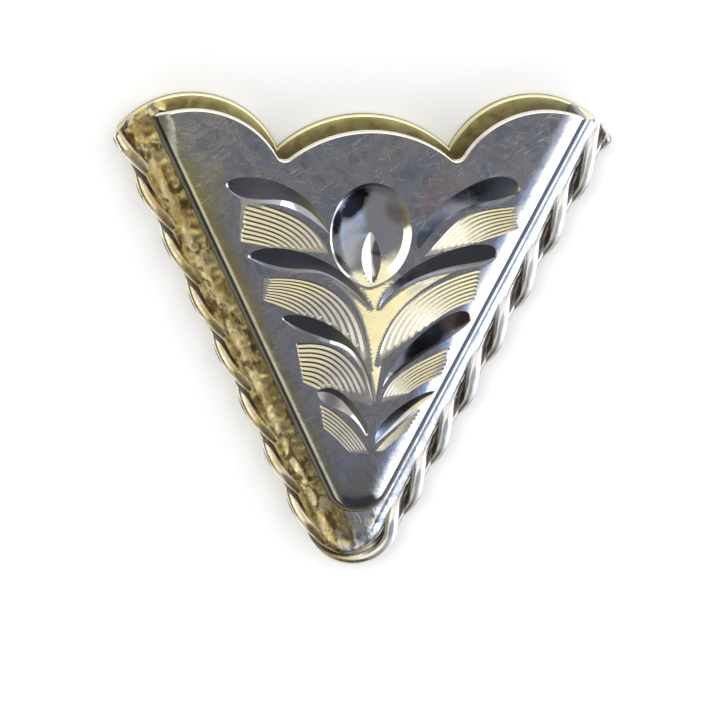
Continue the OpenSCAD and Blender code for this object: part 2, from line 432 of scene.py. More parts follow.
def stem_patch():
    """Fine strokes across the stem, each a shallow slope that ends in a small step."""
    n = int(11 / STEM_PITCH)
    t = np.linspace(0, 1, n + 1)
    left, right = along(*STEM["left"], t), along(*STEM["right"], t)
    across = np.linspace(0, 1, 31)[:, None]
    drop = STEM_PITCH * math.tan(math.radians(STEM_SLOPE))
    grid, z = [], []
    for k in range(n):
        for share, depth in ((0.0, 0.0), (0.14, drop)):
            p = left[k] + (left[k + 1] - left[k]) * share
            q = right[k] + (right[k + 1] - right[k]) * share
            sag = 0.35 * (across - across ** 2) * math.hypot(*(q - p)) * 0.5
            grid.append(p + (q - p) * across - np.c_[0 * sag, sag])
            z.append(np.full(len(across), -depth) * (1 - (2 * across[:, 0] - 1) ** 8))
    return {"name": "stem", "kind": "stem", "xy": np.array(grid), "z": np.array(z), "outline": np.vstack([left, right[::-1]])}


def gouge_patch():
    t = (1 - np.cos(np.linspace(0, math.pi, 33))) / 2
    a, b = np.array(GOUGE["top"]), np.array(GOUGE["bottom"])
    line = a + (b - a) * t[:, None]
    half = GOUGE["half"] * np.sin(math.pi * t ** 1.1) ** 0.7
    half[0] = half[-1] = 0
    grid, z = [], []
    for v in (-1, -0.5, 0, 0.5, 1):
        p = line + np.c_[half * v, 0 * half]
        grid.append(p)
        z.append(oval_depth(p) - GOUGE["depth"] * (half / GOUGE["half"]) * (1 - abs(v)))
    left, right = grid[0], grid[-1]
    return {"name": "gouge", "kind": "gouge", "xy": np.array(grid), "z": np.array(z), "outline": np.vstack([left, right[::-1][1:-1]])}


PATCHES = [gouge_patch(), oval_patch()] + [leaf_patch(r) for r in LEAVES] + [hatch_patch(r) for r in HATCHES] + [stem_patch()]


def keep_free(line, done, rim_xy):
    free = inside(rim_xy, line)
    for poly in done:
        free &= ~inside(poly, line)
    return free


def face_sheet(rim_xy, rim_z):
    """The engraved face. The rim's points keep their places. Returns points, triangles and a region for each triangle."""
    pts, zs, edges, seen = [], [], [], {}

    def add(x, y, z):
        key = (round(x, 4), round(y, 4))
        if key in seen:
            return seen[key]
        seen[key] = len(pts)
        pts.append((x, y))
        zs.append(z)
        return seen[key]

    n_rim = len(rim_xy)
    for (x, y), z in zip(rim_xy, rim_z):
        add(x, y, z - FACE_Z)
    assert len(pts) == n_rim
    edges += [(i, (i + 1) % n_rim) for i in range(n_rim)]
    base = {}
    done = []
    for p in PATCHES:
        xy, z = p["xy"], p["z"]
        flat = xy.reshape(-1, 2)
        keep = inside(rim_xy, flat) & (inner_distance(flat) > FOLD_R * (1 - math.sin(CROWN_TILT)) + 0.06)
        for poly in done:
            keep &= ~inside(poly, flat)
        if p["kind"] in ("hatch", "stem") and pts:
            near = KDTree(len(pts))
            for i, (x, y) in enumerate(pts):
                near.insert((x, y, 0), i)
            near.balance()
            gap = np.array([near.find((x, y, 0))[2] for x, y in flat])
            keep &= gap > 0.11
            z = z * smooth(gap, 0.10, 0.42 if p["kind"] == "stem" else 0.34).reshape(z.shape)
        # a line stops for good where it first meets a cut that lies over it
        keep = keep.reshape(xy.shape[:2])
        if p["kind"] == "stem":
            # its outline is kept as a line of its own, wherever nothing lies over it
            for side in (p["xy"][:, 0], p["xy"][:, -1]):
                free = keep_free(side, done, rim_xy)
                chain = [add(float(x), float(y), 0.0) if ok and near.find((x, y, 0))[2] > 0.11 else -1 for (x, y), ok in zip(side, free)]
                edges.extend((a, b) for a, b in zip(chain, chain[1:]) if a >= 0 and b >= 0 and a != b)
        if p["kind"] == "hatch":
            for k in range(keep.shape[0]):
                started = False
                for i in range(keep.shape[1]):
                    if started and not keep[k, i]:
                        keep[k, i:] = False
                        break
                    started = started or keep[k, i]
        ids = np.full(xy.shape[:2], -1)
        for k in range(xy.shape[0]):
            for i in range(xy.shape[1]):
                if keep[k, i]:
                    ids[k, i] = add(float(xy[k, i, 0]), float(xy[k, i, 1]), float(z[k, i]))
                    base[ids[k, i]] = True
        for k in range(xy.shape[0]):
            for i in range(xy.shape[1] - 1):
                a, b = ids[k, i], ids[k, i + 1]
                if a >= 0 and b >= 0 and a != b:
                    edges.append((int(a), int(b)))
        done.append(p["outline"])
        if p["kind"] in ("gouge",):
            continue
    # plain points between the cuts
    tree = KDTree(len(pts))
    for i, (x, y) in enumerate(pts):
        tree.insert((x, y, 0), i)
    tree.balance()
    step = 0.36
    extra = []
    for k, y in enumerate(np.arange(4, HEIGHT, step * 0.866)):
        for x in np.arange(-17, 17, step):
            extra.append((x + (k % 2) * step / 2, y))
    # closer together in the left corner, where the sheet droops
    extra = [q for q in extra if not (q[0] < -10.8 and q[1] > 33.0)]
    spacing = [step] * len(extra)
    for k, y in enumerate(np.arange(33.1, HEIGHT, 0.15)):
        for x in np.arange(-17, -10.9, 0.17):
            extra.append((x + (k % 2) * 0.085, y))
            spacing.append(0.17)
    extra, spacing = np.array(extra), np.array(spacing)
    keep = inside(rim_xy, extra)
    for poly in done:
        keep &= ~inside(poly, extra)
    for (x, y), gap in zip(extra[keep], spacing[keep]):
        if tree.find((x, y, 0))[2] > gap * 0.62:
            add(float(x), float(y), 0.0)
    n_known = len(pts)
    out, tris, source = triangulate(pts, edges, rim_xy)
    rel = np.zeros(len(out))
    known = source >= 0
    rel[known] = np.array(zs)[source[known]]
    lost = np.where(~known)[0]
    if len(lost):
        # where two lines cross, the nearest known point gives the depth
        t2 = KDTree(n_known)
        for i, (x, y) in enumerate(pts):
            t2.insert((x, y, 0), i)
        t2.balance()
        for i in lost:
            rel[i] = zs[t2.find((out[i][0], out[i][1], 0))[1]]
    on_rim = known & (source < n_rim)
    calm = smooth(inner_distance(out), 1.0, 2.6) * smooth(mouth_distance(out), 0.1, 1.2)
    wave = (0.010 * (wobble(out, 4.6, 3.1) - 0.75) + 0.0045 * (wobble(out, 1.4, 7.7) - 0.6)) * calm
    z = FACE_Z + rel - np.where(on_rim, 0, crown(out)) + np.where(on_rim, 0, wave)
    centre = out[tris].mean(1)
    region = np.zeros(len(tris), int)
    for p in reversed(PATCHES):
        region[inside(p["outline"], centre)] = REGION[p["kind"]]
        if p.get("lip") is not None:
            region[inside(p["lip"], centre)] = LIP
    return np.c_[out, z], tris, region


REGION = {"ground": 0, "leaf": 1, "hatch": 2, "stem": 3, "oval": 4, "gouge": 1}
WALL, CUT, INNER, LIP = 5, 6, 7, 8

STATIONS = (
    [("wall", z) for z in np.linspace(FOOT_Z, FOLD_Z, 7)[:-1]]
    + [("fold", t) for t in np.linspace(math.pi / 2, CROWN_TILT, 17)]
    + [("crown", t) for t in np.linspace(CROWN_TILT, 0, 9)[1:]]
)
FOLD_LAST, WALL_LAST = 6 + 16, 6 + 13


def section(k, s):
    """Height, distance outside the wall line and tip radius of station k, at depth s in the sheet."""
    kind, v = STATIONS[k]
    if kind == "wall":
        share = (FOLD_Z - v) / (FOLD_Z - FOOT_Z)
        return v, WALL_DRAFT * share - s, FACE_TIP_R + (FOOT_TIP_R - FACE_TIP_R) * share - s
    if kind == "fold":
        d = -FOLD_R + (FOLD_R - s) * math.sin(v)
        return FOLD_Z + (FOLD_R - s) * math.cos(v), d, FACE_TIP_R + d
    d = -CROWN_D + (CROWN_R - s) * math.sin(v)
    return FACE_Z - CROWN_R + (CROWN_R - s) * math.cos(v), d, FACE_TIP_R + d


def at_height(xy, z):
    return np.c_[xy, np.full(len(xy), z)]


def settle(p):
    """The left corner of the folded sheet droops a little towards the mouth."""
    p = np.array(p, float)
    corner = side_end(-0.5, EDGE)
    u = (corner[1] - p[..., 1]) / CA
    near = np.clip(1 - u / 3.0, 0, 1.3) ** 1.5
    far = (p[..., 1] - WALL_APEX) * SA - np.abs(p[..., 0]) * CA
    wide = 0.9 + 0.8 * np.clip(1 - u / 3.4, 0, 1)
    lateral = 1 - smooth(far, 0.25, wide)
    high = smooth(p[..., 2], FOLD_Z - 0.8, FOLD_Z + 0.9)
    p[..., 2] -= 0.46 * near * lateral * high * (p[..., 0] < 0)
    return p


def engraved_shell(materials):
    sheets = Sheets()
    # outside: walls and fold
    rows = []
    for k in range(FOLD_LAST + 1):
        z, d, r = section(k, 0)
        rows.append(at_height(vee(d, r, EDGE), z))
    sheets.grid([settle(r) for r in rows[:WALL_LAST + 1]], WALL)
    sheets.grid([settle(r) for r in rows[WALL_LAST:]], REGION["ground"])
    # inside of the sheet
    inner = []
    for k in range(len(STATIONS)):
        z, d, r = section(k, SHEET_T)
        inner.append(at_height(vee(d, r, EDGE), z))
    sheets.grid([settle(r) for r in inner[::-1]], INNER)
    # foot
    sheets.grid([inner[0], rows[0]], INNER)
    # the cut edge round the mouth, with both its corners broken
    q = np.linspace(0, math.pi / 2, 5)
    cut = [(EDGE * (1 - math.cos(t)), EDGE * (1 - math.sin(t))) for t in q]
    cut += [(SHEET_T - s, c) for s, c in cut[::-1]]
    band = []
    for s, c in cut:
        line = []
        for k in range(len(STATIONS)):
            z, d, r = section(k, s)
            e = side_end(d, c)
            line.append((-e[0], e[1], z))
        line = np.array(line)
        top = at_height(mouth(-CROWN_D, c, notch=NOTCH_R), FACE_Z - s)
        band.append(np.vstack([line, top[1:-1], line[::-1] * [-1, 1, 1]]))
    band = np.array(band)
    split = FOLD_LAST - 5
    for piece, mat in ((band[:, :split + 1], INNER), (band[:, split:-split], CUT), (band[:, -split - 1:], INNER)):
        sheets.grid([settle(r) for r in piece], mat)
    for end in (0, -1):
        corner = np.array([line[end] for line in band])
        sheets.faces(corner, [tuple(range(len(corner)))], [INNER])
    # inner side of the face
    low = np.vstack([inner[-1], at_height(mouth(-CROWN_D, EDGE, notch=NOTCH_R), FACE_Z - SHEET_T)[::-1][1:-1]])
    hexes = np.array([(x, y) for y in np.arange(5, HEIGHT, 1.6) for x in np.arange(-16, 16, 1.6)])
    hexes = hexes[inside(low[:, :2], hexes)]
    hexes = hexes[(inner_distance(hexes) > CROWN_D + 0.5) & (mouth_distance(hexes) > 0.6)]
    n = len(low)
    out, tris, source = triangulate(np.vstack([low[:, :2], hexes]), [(i, (i + 1) % n) for i in range(n)], low[:, :2])
    sheets.faces(settle(at_height(out, FACE_Z - SHEET_T)), tris, [INNER] * len(tris))
    # the engraved face
    ends = []
    for k in range(FOLD_LAST + 1, len(STATIONS)):
        z, d, r = section(k, 0)
        e = side_end(d, EDGE)
        ends.append((e[0], e[1], z))
    ends = np.array(ends)
    top = at_height(mouth(-CROWN_D, EDGE, notch=NOTCH_R), FACE_Z)[::-1]
    rim = np.vstack([rows[-1], ends, top[1:-1], ends[::-1] * [-1, 1, 1]])
    pts, tris, region = face_sheet(rim[:, :2], rim[:, 2])
    sheets.faces(settle(pts), tris, region)
    return sheets.make("engraved_shell", materials, sharp=6.5)


# ------------------------------------------------------------------ back plate
def plate_outline(o):
    """The plate's closed outline, o inside its widest edge, counter-clockwise from the left end."""
    d, r = WALL_INSET - 0.45 - o, ROPE_TIP_R - 0.45 - o
    line = vee(d, r, o, 80, 40)
    return np.vstack([line, mouth(d, o, 44, 60)[::-1][1:-1]])


def back_plate(materials):
    sheets = Sheets()
    b, low = 0.14, 0.10
    rows = [(low * (1 - math.cos(t)), low * (1 - math.sin(t))) for t in np.linspace(0, math.pi / 2, 5)]
    rows = [(z, o) for z, o in rows] + [(PLATE_T - b * (1 - math.sin(t)), b * (1 - math.cos(t))) for t in np.linspace(0, math.pi / 2, 7)]
    loops = [at_height(plate_outline(o), z) for z, o in rows]
    sheets.grid(loops, 0, wrap=True)
    for loop, top in ((loops[0], False), (loops[-1], True)):
        line = loop[:, :2]
        step = 0.55
        grid = np.array([(x + (k % 2) * step / 2, y) for k, y in enumerate(np.arange(0, HEIGHT, step * 0.866)) for x in np.arange(-19.5, 19.5, step)])
        grid = grid[inside(line, grid)]
        tree = KDTree(len(line))
        for i, (x, y) in enumerate(line):
            tree.insert((x, y, 0), i)
        tree.balance()
        grid = np.array([g for g in grid if tree.find((g[0], g[1], 0))[2] > 0.34])
        n = len(line)
        out, tris, source = triangulate(np.vstack([line, grid]), [(i, (i + 1) % n) for i in range(n)], line)
        z = np.full(len(out), loop[0, 2])
        free = source >= n
        dip = 0.010 * (1 - wobble(out, 5.5, 11.0 if top else 17.0)) * free
        z = z - dip if top else z + dip * 0.5
        sheets.faces(np.c_[out, z], tris if top else tris[:, ::-1], [1 if top else 0] * len(tris))
    return sheets.make("plate_metal_sheet", materials, sharp=25)


# ------------------------------------------------------------------ rope
ROPE_PITCH, TIP_SLACK, CUT_BLEND = 9.8, 1.78, 7.0
ROPE_FLAT = 1.02
TURN = CORE_R * (math.pi / 2 - ANGLE)
_from = np.array([CORE_R * CA - SIDE_X, TIP_Y - CORE_R * SA - SIDE_Y])
_dir = np.array([SA, CA])
_b = _from @ _dir
_u = -_b + math.sqrt(_b * _b - _from @ _from + SIDE_R ** 2)
ROPE_END = TURN + _u
_at = _from + _u * _dir
CUT_SLOPE = -(_at @ np.array([CA, -SA])) / (_at @ _dir)


def rope_line(s):
    """Centre, direction of travel and outward normal of the rope's centre line at s, from left end to right."""
    side = -1.0 if s < 0 else 1.0
    if abs(s) <= TURN:
        t = s / CORE_R
        return np.array([CORE_R * math.sin(t), TIP_Y - CORE_R * math.cos(t)]), np.array([math.cos(t), math.sin(t)]), np.array([math.sin(t), -math.cos(t)])
    u = abs(s) - TURN
    return (np.array([side * (CORE_R * CA + u * SA), TIP_Y - CORE_R * SA + u * CA]), np.array([SA, side * CA]), np.array([side * CA, -SA]))


def rope_twist(s):
    side = -1.0 if s < 0 else 1.0
    return 2 * math.pi / ROPE_PITCH * (s - side * TIP_SLACK * min(1, abs(s) / TURN))


def rope_strands(materials, strand_r=0.552, rings=560, around=36):
    off = ROPE_D / 2 - strand_r
    sheets, crevice = Sheets(), []
    ss = np.linspace(-ROPE_END, ROPE_END, rings)
    turned, wire = off, strand_r
    for m in (0, 1, 2):
        # the third run is the metal that fills the middle between the two strands
        off, strand_r = (turned, wire) if m < 2 else (0.001, 0.37)
        centre, mid = [], []
        for s in ss:
            c, d, o = rope_line(s)
            w = rope_twist(s) + math.pi * m
            centre.append([c[0] + o[0] * off * math.cos(w), c[1] + o[1] * off * math.cos(w), ROPE_Z + off * math.sin(w)])
            mid.append([c[0], c[1], ROPE_Z])
        centre, mid = np.array(centre), np.array(mid)
        run = np.gradient(centre, ss, axis=0)
        run /= np.linalg.norm(run, axis=1)[:, None]
        loops = []
        ends = [(-1, 0.0), (0, 0.0), (rings - 1, 0.0), (rings, 0.0)]
        for i, s in enumerate(ss):
            c, d, o = rope_line(s)
            out = (centre[i] - mid[i]) / off
            n1 = out - run[i] * (out @ run[i])
            n1 /= np.linalg.norm(n1)
            n2 = np.cross(run[i], n1)
            side = -1.0 if s < 0 else 1.0
            k = max(0, 1 - (ROPE_END - abs(s)) / CUT_BLEND) if abs(s) > TURN else 0
            t = np.linspace(0, 2 * math.pi, around, endpoint=False)
            small = 1.0 - 0.004 * (1 + noise.noise((s * 1.3, m * 5.0, 2.0)))
            if m == 2:
                n1, n2 = np.array([o[0], o[1], 0.0]), np.array([0.0, 0.0, 1.0])
                reach = np.where(np.cos(t) > 0, 0.68, strand_r) / strand_r
                n1 = reach[:, None] * n1
            p = centre[i] + strand_r * small * (np.cos(t)[:, None] * n1 + np.sin(t)[:, None] * n2)
            n = (p[:, :2] - c) @ o
            p[:, :2] += (side * d) * (n * CUT_SLOPE * k)[:, None]
            over = np.maximum(p[:, 2] - (ROPE_Z + ROPE_FLAT), 0)
            p[:, 2] -= 0.75 * over
            loops.append(p)
        loops = np.array(loops)
        # ends: keep them behind the cut, break the corner and close them
        for first, step in ((0, 1), (rings - 1, -1)):
            hub = loops[first].mean(0)
            loops[first] = hub + (loops[first] - hub) * 0.86
        sheets.grid(loops, 0, wrap=True)
        for first in (0, rings - 1):
            hub = loops[first].mean(0)
            ring = loops[first]
            sheets.faces(np.vstack([ring, hub]), [(i, (i + 1) % around, around) for i in range(around)], [0] * around)
    v = np.vstack(sheets.v)
    crevice, outer, inward, worn, eye, flat = crevice_of(v)
    core = np.arange(len(v)) >= 2 * len(v) // 3
    left = 1 - smooth(v[:, 0], -3.0, -1.0)
    # the core's outer rim takes the painted dark outline as well, reaching further in on the left
    outer = np.where(core, smooth(flat, 0.55 - 0.25 * left, 0.65 - 0.20 * left), outer)
    eye = eye * smooth(np.abs(v[:, 0]), 0.8, 2.8)
    ob = sheets.make("rope_strands", materials, sharp=30, attributes={"crevice": crevice, "outer": outer, "inward": inward, "worn": worn, "eye": eye})
    return ob


def crevice_of(v):
    """Shares: how near a point is to where the strands meet, the outer rim, the solder, the high tops and the hollows
    on top. The material paints shade where the strands meet, a dark outline on the rim, highlights on the high tops at
    the right and shade in the hollows.
    """
    x, y, z = v.T
    # distance from the rope's own centre line
    side_x, side_y = np.abs(x), y
    u = (side_x - CORE_R * CA) * SA + (side_y - (TIP_Y - CORE_R * SA)) * CA
    far = (side_x - CORE_R * CA) * CA - (side_y - (TIP_Y - CORE_R * SA)) * SA
    tip = np.hypot(x, y - TIP_Y) - CORE_R
    flat = np.where(u > 0, far, tip)
    rad = np.hypot(flat, z - ROPE_Z)
    shift = 0.065 * smooth(x, -2.0, 3.0)
    rim = smooth(flat + shift, 0.955, 1.01) * smooth(z, ROPE_Z - 0.12, ROPE_Z + 0.02)
    eye = (1 - smooth(rad, 0.67, 0.80)) * smooth(z, ROPE_Z + 0.05, ROPE_Z + 0.2) * (1 - smooth(np.abs(flat + 0.04), 0.35, 0.47))
    return 1 - smooth(rad, 0.42, 0.80), rim, 1 - smooth(flat - 0.10 * (1 - smooth(x, -2.0, 3.0)), 0.0, 0.62), smooth(z, ROPE_Z + 0.55, ROPE_Z + 0.85), eye, flat


# ------------------------------------------------------------------ solder
def solder_run(materials):
    """Solder that fills the corner between the walls and the rope and floods the rope's inner half."""
    # distance outside the wall line, height above the plate, how much it may wander
    rows = [(-0.25, 0.02, 0.0), (2.30, 0.02, 0.0), (2.50, 0.40, 0.0), (2.60, 0.85, 0.0), (2.60, 1.20, 0.3), (2.50, 1.48, 0.6)]
    for d in np.linspace(2.34, 0.06, 17):
        z = 2.06 - 0.07 * d - 0.125 * max(0.0, d - 1.15) - 0.10 * max(0.0, d - 2.0)
        rows.append((d, z, 1.0 if d > 0.4 else 0.4))
    rows.append((-0.25, 2.06, 0.0))
    sheets, loops = Sheets(), []
    for d, z, free in rows:
        lines = []
        for reach in (0.95, 0.70) if d > 0 else (1.0, 1.0):
            tip_r = (TIP_Y - WALL_APEX) * SA + d * reach if d > 0 else 2.2
            lines.append(vee(d * reach, tip_r, 0.12, 330, 70))
        share = smooth(lines[0][:, 0], -1.5, 2.5)[:, None]
        line = lines[0] * (1 - share) + lines[1] * share
        p = at_height(line, FOOT_Z + z)
        if free:
            lump = np.array([noise.noise((q[0] * 0.8, q[1] * 0.8, 2.0)) + 0.6 * noise.noise((q[0] * 2.1, q[1] * 2.1, 4.0)) + 0.12 * noise.noise((q[0] * 4.6, q[1] * 4.6, 9.0)) for q in line])
            rough = 0.010 + 0.057 * (1 - smooth(line[:, 0], -2.5, 3.5))
            p[:, 2] += rough * free * lump
            # on the left it stands higher and buries more of the strands
            rise = 0.30 * smooth(np.array([d]), 1.0, 2.0)[0] if d <= 2.4 and z > 1.5 else 0.16
            p[:, 2] += rise * (1 - share[:, 0])
            # a shallow groove along the clean right side
            p[:, 2] -= 0.05 * free * share[:, 0] * math.exp(-(((d * 0.7) - 0.75) / 0.16) ** 2)
        loops.append(p)
    grid = np.array(loops)
    sheets.grid(np.transpose(grid, (1, 0, 2)), 0, wrap=True)
    for i in (0, grid.shape[1] - 1):
        ring = grid[:, i]
        hub = ring.mean(0)
        n = len(ring)
        sheets.faces(np.vstack([ring, hub]), [(k, (k + 1) % n, n) for k in range(n)], [0] * n)
    # lumps at the foot of the left wall's end and up over it
    ups = np.linspace(-0.46 * math.pi, 0.46 * math.pi, 15)
    rounds = np.linspace(0, 2 * math.pi, 28, endpoint=False)
    ball = np.array([[(math.cos(t) * math.cos(u), math.cos(t) * math.sin(u), math.sin(t)) for u in rounds] for t in ups])
    for d, c, size, z, seed in ((-0.62, 0.62, (0.46, 0.40, 0.42), 0.45, 4.0), (-0.34, 0.06, (0.45, 0.30, 2.0), 1.80, 9.0)):
        end = side_end(d, c)
        lump = ball * (1 + 0.16 * np.array([[noise.noise((q[0] * 1.6 + seed, q[1] * 1.6, q[2] * 1.6)) for q in row] for row in ball])[:, :, None])
        lump = lump * size + [-end[0], end[1], FOOT_Z + z]
        sheets.grid(lump, 0, wrap=True)
        for ring in (lump[0], lump[-1]):
            sheets.faces(np.vstack([ring, ring.mean(0)]), [(k, (k + 1) % 28, 28) for k in range(28)], [0] * 28)
    return sheets.make("solder_run", materials, sharp=60)


# ------------------------------------------------------------------ materials
class Shade:
    """Short names for building a node material."""

    def __init__(self, name):
        self.mat = bpy.data.materials.new(name)
        self.mat.use_nodes = True
        self.t = self.mat.node_tree
        self.t.nodes.clear()
        self.out = self.t.nodes.new("ShaderNodeOutputMaterial")
        self.bsdf = self.t.nodes.new("ShaderNodeBsdfPrincipled")
        self.t.links.new(self.bsdf.outputs[0], self.out.inputs[0])
        self.xyz = self.t.nodes.new("ShaderNodeTexCoord").outputs["Object"]

    def put(self, socket, value):
        if isinstance(value, bpy.types.NodeSocket):
            self.t.links.new(value, socket)
        else:
            socket.default_value = value

    def mapped(self, scale, turn=(0, 0, 0), move=(0, 0, 0)):
        """Object place in millimetres times scale, turned by degrees first."""
        spin = self.t.nodes.new("ShaderNodeMapping")
        spin.vector_type = "POINT"
        self.put(spin.inputs["Vector"], self.xyz)
        spin.inputs["Rotation"].default_value = [math.radians(a) for a in turn]
        grow = self.t.nodes.new("ShaderNodeMapping")
        self.put(grow.inputs["Vector"], spin.outputs[0])
        grow.inputs["Scale"].default_value = [1000 * s for s in scale]
        grow.inputs["Location"].default_value = move
        return grow.outputs[0]

    def noise(self, vector, scale=1.0, detail=3.0, rough=0.55, distortion=0.0):
        n = self.t.nodes.new("ShaderNodeTexNoise")
        self.put(n.inputs["Vector"], vector)
        n.inputs["Scale"].default_value = scale
        n.inputs["Detail"].default_value = detail
        n.inputs["Roughness"].default_value = rough
        n.inputs["Distortion"].default_value = distortion
        return n.outputs["Fac"]

    def remap(self, value, lo, hi, to_lo=0.0, to_hi=1.0, kind="SMOOTHSTEP"):
        n = self.t.nodes.new("ShaderNodeMapRange")
        n.interpolation_type = kind
        self.put(n.inputs["Value"], value)
        for key, v in (("From Min", lo), ("From Max", hi), ("To Min", to_lo), ("To Max", to_hi)):
            n.inputs[key].default_value = v
        return n.outputs["Result"]

    def math(self, op, a, b=0.0, clamp=False):
        n = self.t.nodes.new("ShaderNodeMath")
        n.operation = op
        n.use_clamp = clamp
        self.put(n.inputs[0], a)
        self.put(n.inputs[1], b)
        return n.outputs[0]

    def mix(self, share, a, b):
        n = self.t.nodes.new("ShaderNodeMix")
        n.data_type = "RGBA"
        self.put(n.inputs[0], share)
        for socket, v in ((n.inputs[6], a), (n.inputs[7], b)):
            self.put(socket, (*v, 1) if isinstance(v, tuple) and len(v) == 3 else v)
        return n.outputs[2]

    def place(self, axis):
        """Object place along one axis, in millimetres."""
        n = self.t.nodes.new("ShaderNodeSeparateXYZ")
        self.put(n.inputs[0], self.xyz)
        return self.math("MULTIPLY", n.outputs[axis], 1000.0)

    def patch(self, x, y, rx, ry, turn=0.0, soft=0.7):
        """1 in the middle of a soft oval patch at plan x, y, falling to 0 at its edge."""
        move = self.t.nodes.new("ShaderNodeVectorMath")
        move.operation = "SUBTRACT"
        self.put(move.inputs[0], self.xyz)
        move.inputs[1].default_value = (x * MM, (y - HALF) * MM, 0)
        spin = self.t.nodes.new("ShaderNodeMapping")
        self.put(spin.inputs["Vector"], move.outputs[0])
        spin.inputs["Rotation"].default_value = (0, 0, -math.radians(turn))
        size = self.t.nodes.new("ShaderNodeVectorMath")
        size.operation = "MULTIPLY"
        self.put(size.inputs[0], spin.outputs[0])
        size.inputs[1].default_value = (1 / (rx * MM), 1 / (ry * MM), 0)
        length = self.t.nodes.new("ShaderNodeVectorMath")
        length.operation = "LENGTH"
        self.put(length.inputs[0], size.outputs[0])
        return self.remap(length.outputs["Value"], 1.0, 1.0 - soft)

    def attribute(self, name):
        n = self.t.nodes.new("ShaderNodeAttribute")
        n.attribute_name = name
        return n.outputs["Fac"]

    def scratches(self, layers, width=11.0, length=0.30, seed=0.0, cover=0.66):
        """Fine straight scratches in several directions: 1 on a scratch, 0 elsewhere."""
        total = None
        for k, turn in enumerate(layers):
            v = self.mapped((length, width, 1.0), turn=(0, 0, turn), move=(seed + 3.7 * k, 1.9 * k, 0))
            line = self.remap(self.noise(v, 1.0, 1.0, 0.4), cover, cover + 0.05)
            gap = self.remap(self.noise(self.mapped((0.5, 0.5, 0.5), move=(9 * k + seed, 4, 2)), 1.0, 1.0), 0.42, 0.6)
            line = self.math("MULTIPLY", line, gap)
            total = line if total is None else self.math("MAXIMUM", total, line)
        return total

    def bump(self, height, strength, distance, after=None):
        n = self.t.nodes.new("ShaderNodeBump")
        n.inputs["Strength"].default_value = strength
        n.inputs["Distance"].default_value = distance
        self.put(n.inputs["Height"], height)
        if after is not None:
            self.put(n.inputs["Normal"], after)
        return n.outputs[0]

    def finish(self, color, roughness, normal=None, metallic=1.0):
        self.put(self.bsdf.inputs["Base Color"], color)
        self.put(self.bsdf.inputs["Roughness"], roughness)
        self.put(self.bsdf.inputs["Metallic"], metallic)
        if normal is not None:
            self.put(self.bsdf.inputs["Normal"], normal)
        return self.mat


def polished(name, base, cool, warm, rough=(0.10, 0.20), scratch=0.5, layers=(12, -38, 71), seed=0.0, stain=0.35, grain=0.25, patches=(), lower=None):
    """Worn silvery metal: cloudy tints, small stains, fine scratches and a faint grain."""
    s = Shade(name)
    cloud = s.noise(s.mapped((0.22, 0.22, 0.22), move=(seed, 2, 1)), 1.0, 4.0, 0.6)
    cloud2 = s.noise(s.mapped((0.5, 0.5, 0.5), move=(4, seed, 3)), 1.0, 3.0, 0.6, 0.6)
    color = s.mix(s.remap(cloud, 0.42, 0.62), base, cool)
    color = s.mix(s.remap(cloud2, 0.50, 0.68, 0.0, 0.75), color, warm)
    blotch = s.noise(s.mapped((0.9, 0.9, 0.9), move=(2, seed, seed)), 1.0, 6.0, 0.72, 0.5)
    color = s.mix(s.remap(blotch, 0.46, 0.66, 0.0, stain), color, tuple(0.55 * c for c in base))
    for x, y, rx, ry, turn, tint, share in patches:
        ragged = s.remap(blotch, 0.30, 0.60, 0.55, 1.0)
        color = s.mix(s.math("MULTIPLY", s.math("MULTIPLY", s.patch(x, y, rx, ry, turn), ragged), share), color, tint)
    if lower:
        # the plain metal colour towards the foot; above it the base colours stay, which on the side wall are a painted
        # dark reflection
        color = s.mix(s.remap(s.place(2), lower[0], lower[1], 1.0, 0.0), color, s.mix(s.remap(blotch, 0.42, 0.64), lower[2], tuple(0.62 * c for c in lower[2])))
    spots = s.remap(s.noise(s.mapped((2.2, 2.2, 2.2), move=(seed, seed, 7)), 1.0, 5.0, 0.7), 0.60, 0.72, 0.0, stain)
    color = s.mix(spots, color, tuple(0.35 * c for c in base))
    lines = s.scratches(layers, seed=seed, width=26.0, length=0.6, cover=0.71)
    fine = s.noise(s.mapped((24, 24, 24)), 1.0, 2.0, 0.6)
    r = s.remap(cloud2, 0.3, 0.7, rough[0], rough[1])
    r = s.math("ADD", r, s.math("MULTIPLY", lines, 0.07))
    r = s.math("ADD", r, s.math("MULTIPLY", spots, 0.25), clamp=True)
    height = s.math("SUBTRACT", s.math("MULTIPLY", fine, grain), s.math("MULTIPLY", lines, 0.55))
    height = s.math("ADD", height, s.math("MULTIPLY", blotch, 5.0))
    return s.finish(color, r, s.bump(height, scratch, 3e-6))


def satin(name, base, shadow, rough=(0.24, 0.34), seed=0.0):
    """The field of the stem: a close grain of fine strokes."""
    s = Shade(name)
    strokes = s.noise(s.mapped((9, 1.4, 1), turn=(0, 0, -4), move=(seed, 0, 0)), 1.0, 3.0, 0.6)
    cloud = s.noise(s.mapped((0.7, 0.7, 0.7), move=(seed, 5, 0)), 1.0, 3.0, 0.6)
    color = s.mix(s.remap(cloud, 0.46, 0.70, 0.0, 0.35), base, shadow)
    color = s.mix(s.remap(strokes, 0.60, 0.75, 0.0, 0.25), color, shadow)
    r = s.remap(cloud, 0.3, 0.7, rough[0], rough[1])
    n = s.bump(strokes, 0.25, 1.0e-5)
    return s.finish(color, r, n)


